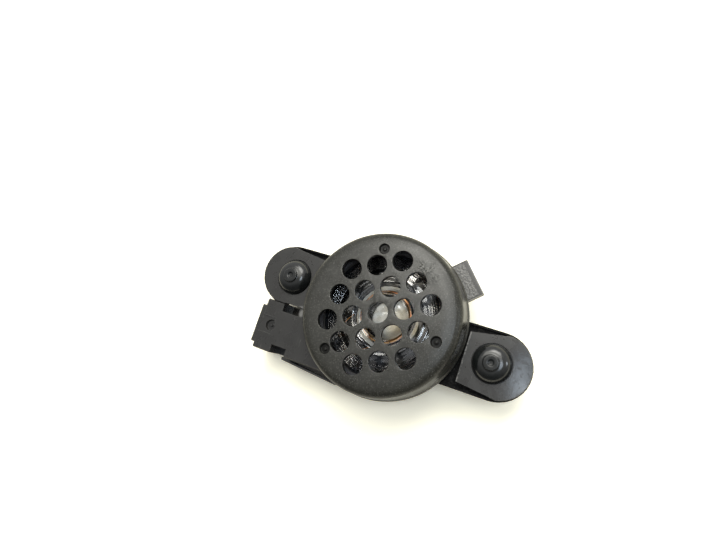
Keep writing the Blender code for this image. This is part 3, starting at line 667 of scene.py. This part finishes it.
def cap_profile():
    """Down the outside from the middle of the face to the lip, then up the inside.

    The face falls away a little towards its rim before the rounded edge begins."""
    fillet_r = 2.2 * MM
    flat_r = 16.8 * MM
    edge_r = CAP_R - fillet_r
    fall = 0.22 * MM
    slope_steps = 8
    slope = []
    for step in range(slope_steps):
        t = step / slope_steps
        slope.append((flat_r + (edge_r - flat_r) * t, CAP_TOP - fall * t * t))
    fillet = arc((edge_r, CAP_TOP - fall - fillet_r), fillet_r, 84, 0, 20)
    outer = [(0, CAP_TOP), *slope, *fillet]
    seat_r = CAP_R - 1.4 * MM
    seat_z = CAP_TOP - 5.0 * MM
    inner_r = 18.9 * MM
    skirt = [
        (CAP_R + 0.35 * MM, CAP_BOTTOM + 1.4 * MM),
        (CAP_LIP_R, CAP_BOTTOM + 1.0 * MM),
        (CAP_LIP_R, CAP_BOTTOM),
        (seat_r, CAP_BOTTOM),
        (seat_r, seat_z),
        (inner_r, seat_z),
        (inner_r, CAP_TOP - CAP_FACE),
        (0, CAP_TOP - CAP_FACE),
    ]
    return outer + softened([outer[-1], *skirt], 0.18 * MM, closed=False)[1:]


def hole_places():
    """Five columns of 3, 4, 5, 4 and 3 holes, each column centred on the X axis of the grid."""
    places = []
    for column in range(-2, 3):
        count = 5 - abs(column)
        for row in range(count):
            place = Vector((column * COLUMN_PITCH, (row - (count - 1) / 2) * HOLE_PITCH))
            place.rotate(Matrix.Rotation(GRID_TURN, 2))
            places.append(place)
    return places


def hole_cutter(number, x, y):
    """A round cutter that leaves a small rounded edge at both faces of the cap."""
    soft = 0.10 * MM
    under = CAP_TOP - CAP_FACE
    top_edge = arc((HOLE_R + soft, CAP_TOP - soft), soft, 90, 180, 4)
    low_edge = arc((HOLE_R + soft, under + soft), soft, 180, 270, 3)
    beyond = 1.0 * MM
    profile = [
        (0, CAP_TOP + beyond),
        (HOLE_R + soft, CAP_TOP + beyond),
        *top_edge,
        *low_edge,
        (HOLE_R + soft, under - beyond),
        (0, under - beyond),
    ]
    cutter = lathe(f"hole_{number}", profile, steps=56, closed=False)
    cutter.location = (x, y, 0)
    return cutter


def dimple_cutter(number, x, y):
    """A blind round dimple with a small nib in the middle of its floor."""
    radius, soft = 1.55 * MM, 0.10 * MM
    floor = CAP_TOP - 1.0 * MM
    nib_top = floor + 0.42 * MM
    profile = [(0, CAP_TOP + MM), (radius + soft, CAP_TOP + MM)]
    profile += arc((radius + soft, CAP_TOP - soft), soft, 90, 180, 4)
    profile += softened([
        (radius, CAP_TOP - soft),
        (radius - 0.25 * MM, floor),
        (0.50 * MM, floor),
        (0.36 * MM, nib_top),
        (0, nib_top),
    ], 0.12 * MM, closed=False)[1:]
    cutter = lathe(f"dimple_{number}", profile, steps=40, closed=False)
    cutter.location = (x, y, 0)
    return cutter


def make_cap():
    """The cap turned from its profile, with its holes and dimples cut in one go."""
    cap = lathe("grille_cap_shell", cap_profile(), cap_plastic(), steps=224, closed=False)
    tools = [hole_cutter(number, *place) for number, place in enumerate(hole_places())]
    tools += [dimple_cutter(number, *polar(DIMPLE_RING, angle)) for number, angle in enumerate(DIMPLE_ANGLES)]
    cut_all(cap, tools)
    smooth(cap, 32)
    flatten(cap)
    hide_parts("grille_cap")
    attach(cap, "housing")


# ---------------------------------------------------------------- rubber buffers

def buffer_profile(low, high, radius):
    """The domed head with its flat tip and sunk middle, the neck, and the flange behind the ear."""
    base = high - 3.7 * MM
    tip_r = 2.0 * MM
    sink_floor = high - 0.4 * MM
    crown_r = tip_r + 0.3 * MM
    crown_steps = 12
    crown = []
    for step in range(crown_steps + 1):
        angle = math.pi / 2 * step / crown_steps
        crown.append((
            crown_r + (radius - crown_r) * math.sin(angle),
            base + 0.5 * MM + (high - base - 1.0 * MM) * math.cos(angle) ** 1.2,
        ))
    tip = softened([
        (0, sink_floor),
        (0.62 * MM, sink_floor),
        (0.85 * MM, high),
        (tip_r, high),
        (tip_r + 0.12 * MM, high - 0.42 * MM),
        crown[0],
    ], 0.16 * MM, closed=False)
    neck_r, flange_r = 3.0 * MM, 4.4 * MM
    flange_top = low + 1.8 * MM
    below = softened([
        *crown[-2:],
        (radius, base),
        (neck_r, base),
        (neck_r, flange_top),
        (flange_r, flange_top),
        (flange_r - 0.3 * MM, low),
        (0, low),
    ], 0.16 * MM, closed=False)
    return tip[:-1] + crown[:-1] + below[1:]


def make_buffers():
    """The two rubber buffers, each turned about its own axis in its ear."""
    rubber = buffer_rubber()
    for side in ("left", "right"):
        node = f"{side}_rubber_buffer"
        low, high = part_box(node)
        centre = (low + high) / 2
        profile = buffer_profile(low.z, high.z, (high.x - low.x) / 2)
        piece = lathe(f"{side}_buffer", profile, rubber, steps=96, closed=False)
        smooth(piece, 60)
        piece.data.transform(Matrix.Translation((centre.x, centre.y, 0)))
        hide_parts(node)
        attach(piece, "housing")


# ---------------------------------------------------------------- loudspeaker film and motor

def film_strip(line):
    """A profile: the line one film thickness higher, then back along the line itself."""
    raised = [(radius, height + FILM) for radius, height in line]
    return raised + line[::-1]


def make_diaphragm(film):
    """The clear dome, the flat ring on the coil and the cone, with its shallow steps."""
    dome_r = 6.4 * MM
    ring_r = COIL_HIGH.x + 0.2 * MM
    rim = FILM_HIGH.x
    rise = FILM_HIGH.z - FILM_Z - 2.0 * FILM
    dome_steps, cone_steps = 24, 28
    line = []
    for step in range(dome_steps + 1):
        t = step / dome_steps
        line.append((dome_r * t, FILM_Z + rise * (1 - t ** 2)))
    line += [(dome_r + 0.2 * MM, FILM_Z), (ring_r, FILM_Z)]
    for step in range(1, cone_steps + 1):
        t = step / cone_steps
        bulge = math.sin(math.pi * t ** 0.8) * 0.72 * MM + t * 0.5 * MM
        fade = min(1.0, 4 * t) * min(1.0, 4 * (1 - t))
        ripple = 0.05 * MM * math.cos(t * math.tau * 3.5) * fade
        line.append((ring_r + (rim - ring_r) * t, FILM_Z + bulge + ripple))
    piece = lathe("diaphragm_film", film_strip(line), film, closed=False)
    smooth(piece, 60)
    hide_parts("diaphragm")
    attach(piece, "moving_film")


def make_surround(film):
    """The corrugated edge between the cone and the frame, and the flat rim on the frame."""
    start = FILM_HIGH.x + 0.02 * MM
    end = 17.2 * MM
    flat = SURROUND_LOW.z + 0.03 * MM
    highest = SURROUND_HIGH.z - 0.02 * MM - FILM
    waves, steps = 4, 64
    line = []
    for step in range(steps + 1):
        t = step / steps
        wave = 0.5 - 0.5 * math.cos(math.tau * waves * t)
        base = FILM_Z + 0.5 * MM * (1 - t) + (flat - FILM_Z) * t
        line.append((start + (end - start) * t, min(base + 0.42 * MM * wave, highest)))
    line += [(end + 0.3 * MM, flat), (SURROUND_HIGH.x, flat)]
    piece = lathe("film_surround", film_strip(line), film)
    smooth(piece, 60)
    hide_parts("surround")
    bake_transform(piece)


def make_coil(wire):
    """The voice coil as one layer of wire after another around the former."""
    low, high = COIL_LOW.z, COIL_HIGH.z
    outer, inner = COIL_HIGH.x, 7.1 * MM
    turns = 22
    pitch = (high - low) / turns
    groove_r = outer - pitch * 0.5
    inset = 0.02 * MM
    profile = [(inner, high - inset), (groove_r, high - inset)]
    for turn in range(turns):
        top = high - turn * pitch
        for share, bulge in ((0.15, 0.55), (0.5, 1.0), (0.85, 0.55)):
            profile.append((groove_r + pitch * 0.5 * bulge, top - share * pitch))
    profile += [(groove_r, low + inset), (inner, low + inset)]
    piece = lathe("voice_coil_winding", profile, wire, steps=128)
    smooth(piece, 60)
    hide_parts("voice_coil")
    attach(piece, "moving_film")


def make_pole_plate(steel):
    """The plate under the dome: turned edge, a shallow countersunk middle and a bright face."""
    radius, low, high = PLATE_HIGH.x, PLATE_LOW.z, PLATE_HIGH.z
    sink_floor = high - 0.5 * MM
    profile = softened([
        (0, sink_floor),
        (1.0 * MM, sink_floor),
        (1.6 * MM, high - 0.05 * MM),
        (radius - 0.3 * MM, high - 0.02 * MM),
        (radius, high - 0.3 * MM),
        (radius, low),
        (0, low),
    ], 0.12 * MM, closed=False)
    piece = lathe("pole_plate_turned", profile, steel, steps=128, closed=False)
    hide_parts("pole_plate")
    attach(piece, "housing")


def make_lead(side, wire):
    """An enamelled lead from the coil to the terminal board."""
    node = f"{side}_coil_lead"
    piece = cad_copy(node + "_wire", node, wire, 1.0)
    smooth(piece, 60)
    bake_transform(piece)


# ---------------------------------------------------------------- stage

def make_floor():
    """A plain pale sheet under the part. The camera sees it overexposed, as in a bright studio shot."""
    m = Nodes("pale_sheet")
    shade = m.mix(m.varied(60 * MM, 2, 0.0, 1.0), (0.90, 0.86, 0.71), (0.92, 0.88, 0.74))
    m.bump((m.noise(0.4 * MM, 3), 0.004 * MM))
    m.finish(shade, 0.8, specular=0.1)
    exposed = m.add("ShaderNodeBsdfDiffuse")
    bright = m.add("ShaderNodeVectorMath", operation="SCALE")
    m.link(shade, bright.inputs[0])
    bright.inputs["Scale"].default_value = FLOOR_EXPOSURE
    m.link(bright.outputs["Vector"], exposed.inputs["Color"])
    join = m.add("ShaderNodeMixShader")
    m.link(m.add("ShaderNodeLightPath").outputs["Is Camera Ray"], join.inputs["Fac"])
    m.link(m.shader.outputs["BSDF"], join.inputs[1])
    m.link(exposed.outputs["BSDF"], join.inputs[2])
    m.link(join.outputs["Shader"], m.output.inputs["Surface"])
    shape = bmesh.new()
    half_width = 1.5
    bmesh.ops.create_grid(shape, x_segments=1, y_segments=1, size=half_width)
    mesh = bpy.data.meshes.new("floor")
    shape.to_mesh(mesh)
    shape.free()
    floor = linked("floor", mesh, m.material)
    floor.location = (0, 0, cad_box[0].z - 0.02 * MM)


def area_light(name, place, size, power, colour):
    """A soft rectangular lamp that faces the middle of the part."""
    lamp = bpy.data.lights.new(name, "AREA")
    lamp.shape = "RECTANGLE"
    lamp.size, lamp.size_y = size
    lamp.energy = power
    lamp.color = colour
    item = bpy.data.objects.new(name, lamp)
    bpy.context.scene.collection.objects.link(item)
    item.location = place
    direction = Vector((0, 0, 12 * MM)) - Vector(place)
    item.rotation_mode = "QUATERNION"
    item.rotation_quaternion = direction.to_track_quat("-Z", "Y")


def make_world():
    """A pale room: bright on its far side, dark on its near side and a little dimmer overhead."""
    world = bpy.data.worlds.new("studio")
    bpy.context.scene.world = world
    world.use_nodes = True
    tree = world.node_tree
    place = tree.nodes.new("ShaderNodeTexCoord").outputs["Generated"]

    def lobe(direction, low, high, dim, bright):
        """A brightness that changes from dim to bright towards one direction."""
        dot = tree.nodes.new("ShaderNodeVectorMath")
        dot.operation = "DOT_PRODUCT"
        dot.inputs[1].default_value = Vector(direction).normalized()
        tree.links.new(place, dot.inputs[0])
        ramp = tree.nodes.new("ShaderNodeMapRange")
        ramp.interpolation_type = "SMOOTHSTEP"
        ramp.inputs["From Min"].default_value = low
        ramp.inputs["From Max"].default_value = high
        ramp.inputs["To Min"].default_value = dim
        ramp.inputs["To Max"].default_value = bright
        tree.links.new(dot.outputs["Value"], ramp.inputs["Value"])
        return ramp.outputs["Result"]

    walls = lobe((-0.1, 0.95, 0.2), -0.8, 0.8, ROOM_NEAR, ROOM_FAR)
    overhead = lobe((-0.15, -0.25, 0.95), 0.55, 0.97, 1.0, ROOM_OVERHEAD)
    both = tree.nodes.new("ShaderNodeMath")
    both.operation = "MULTIPLY"
    tree.links.new(walls, both.inputs[0])
    tree.links.new(overhead, both.inputs[1])
    background = tree.nodes["Background"]
    background.inputs["Color"].default_value = (1.0, 0.99, 0.975, 1.0)
    tree.links.new(both.outputs["Value"], background.inputs["Strength"])


def make_lights():
    """Two warm ceiling panels, a cool window and lamp on the right, and a spark for the rubber domes.

    Each has its place, its size, its power in watts and its colour."""
    area_light("mirror_panel", (-0.05, 0.20, 0.44), (0.30, 0.26), 1.0, (1.0, 0.985, 0.90))
    area_light("ceiling_panel", (0.04, 0.34, 0.40), (0.30, 0.24), 1.6, (1.0, 0.985, 0.94))
    area_light("right_window", (0.42, 0.14, 0.17), (0.07, 0.10), 0.30, (0.84, 0.92, 1.0))
    area_light("dome_spark", (0.13, 0.06, 0.36), (0.025, 0.025), 0.035, (0.90, 0.95, 1.0))
    area_light("cool_lamp", (0.145, 0.02, 0.40), (0.11, 0.13), 0.34, (0.76, 0.88, 1.0))


def make_camera():
    """A camera above the right side of the part, tipped towards its middle."""
    camera = bpy.data.cameras.new("camera")
    camera.sensor_width = 36.0
    camera.lens = 28.42
    camera.clip_start = 0.005
    item = bpy.data.objects.new("camera", camera)
    bpy.context.scene.collection.objects.link(item)
    item.location = CAMERA_PLACE
    item.rotation_euler = [math.radians(angle) for angle in CAMERA_TURN]
    bpy.context.scene.camera = item


# ---------------------------------------------------------------- assembly

def make_hidden_pieces(steel, wire):
    """The pieces that keep their CAD shapes, with softened edges and materials of their own."""
    tin = bright_metal("tinned_metal", (0.55, 0.55, 0.53), (0.74, 0.74, 0.72))
    nickel = bright_metal("magnet_nickel", (0.42, 0.41, 0.39), (0.60, 0.59, 0.57))
    foam = fibrous("grey_foam", (0.030, 0.030, 0.031), (0.085, 0.085, 0.088), 0.28 * MM, 0.06 * MM)
    card = fibrous("black_card", (0.030, 0.029, 0.027), (0.070, 0.067, 0.062), 0.20 * MM, 0.02 * MM)
    paper = fibrous("former_paper", (0.32, 0.19, 0.08), (0.50, 0.33, 0.15), 0.22 * MM, 0.01 * MM)
    black = sleeve("black_sleeve", (0.012, 0.012, 0.012), (0.028, 0.028, 0.028))
    red = sleeve("red_sleeve", (0.34, 0.02, 0.018), (0.50, 0.045, 0.035))
    refined("magnet_pot_turned", "magnet_pot", "housing", steel, 0.08 * MM)
    refined("magnet_disc", "magnet", "housing", nickel, 0.08 * MM)
    refined("coil_former_tube", "coil_former", "moving_film", paper, 0.03 * MM)
    refined("edge_ring_card", "edge_ring", "housing", card, 0.08 * MM)
    refined("front_gasket_foam", "front_gasket", "housing", foam, 0.15 * MM)
    refined("rear_pad_foam", "rear_foam_pad", "housing", foam, 0.3 * MM)
    refined("terminal_board_laminate", "terminal_board", "housing", laminate(), 0.05 * MM)
    for side, insulation in (("negative", black), ("positive", red)):
        refined(f"{side}_blade", f"{side}_contact_pin", "housing", tin, 0.04 * MM)
        refined(f"{side}_solder", f"{side}_solder_lug", "housing", tin, 0.25 * MM)
        refined(f"{side}_wire", f"{side}_feed_wire", "housing", insulation, 0.0)
        make_lead(side, wire)


steel = plated_steel()
film = clear_film()
wire = copper()
make_cap()
refined("housing_shell", "rear_housing", "housing", housing_plastic(), 0.12 * MM)
make_buffers()
make_diaphragm(film)
make_surround(film)
make_coil(wire)
make_pole_plate(steel)
refined("basket", "speaker_frame", "housing", gloss_black(), 0.08 * MM)
make_hidden_pieces(steel, wire)
make_floor()
make_world()
make_lights()
make_camera()
bpy.context.scene.view_settings.view_transform = "Standard"
